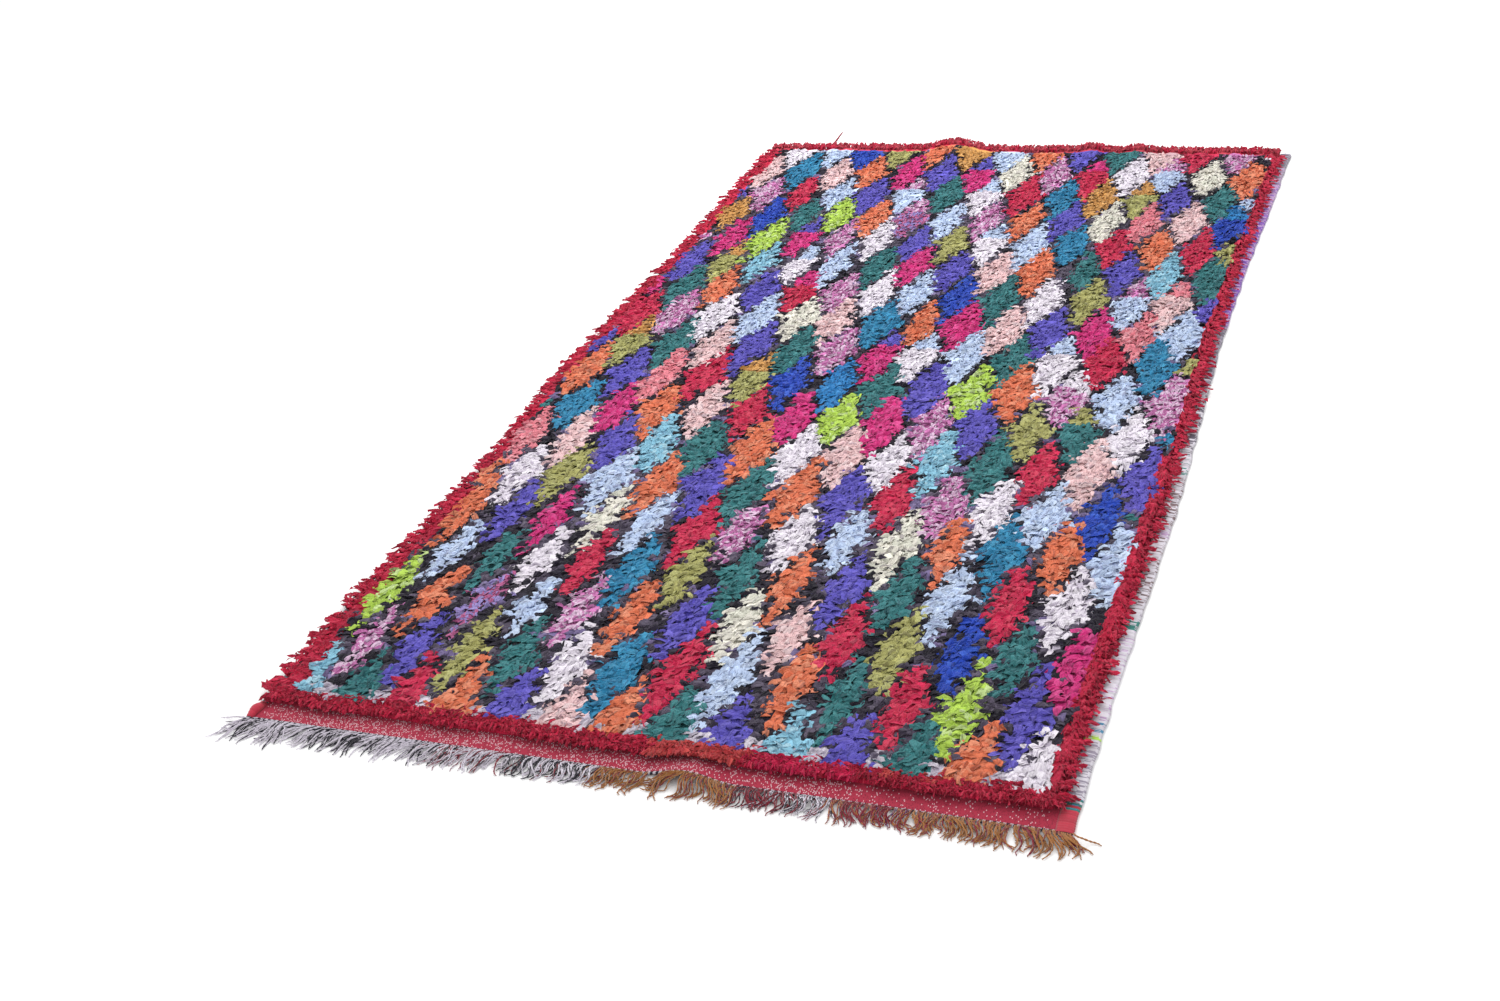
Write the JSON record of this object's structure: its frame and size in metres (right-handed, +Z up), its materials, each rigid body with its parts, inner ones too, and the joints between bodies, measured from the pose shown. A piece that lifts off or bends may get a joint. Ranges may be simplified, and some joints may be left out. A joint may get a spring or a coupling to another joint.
{
  "type": "boucherouite rug",
  "caption": "Knotted rag pile rug with rows of coloured diamonds in a red border, a flat-woven end band and a cut warp fringe at one end, lying flat.",
  "frame": {"origin": "centre of the footprint, on the floor under the rug", "axes": "+Z up, +Y along the rug's length away from the fringed end, +X across its width"},
  "size_m": [1.4135, 2.6651, 0.0387],
  "materials": {
    "rag_pile": "crumpled cotton and jersey rag strips knotted in as pile",
    "border_rag": "crimson rag strips knotted in as pile",
    "woven_wool": "flat weft-faced plain weave",
    "warp_wool": "cut and twisted wool warp ends"
  },
  "bodies": {
    "root": {"rug_body": "rag_pile", "near_fringe": "warp_wool"}
  },
  "joints": []
}
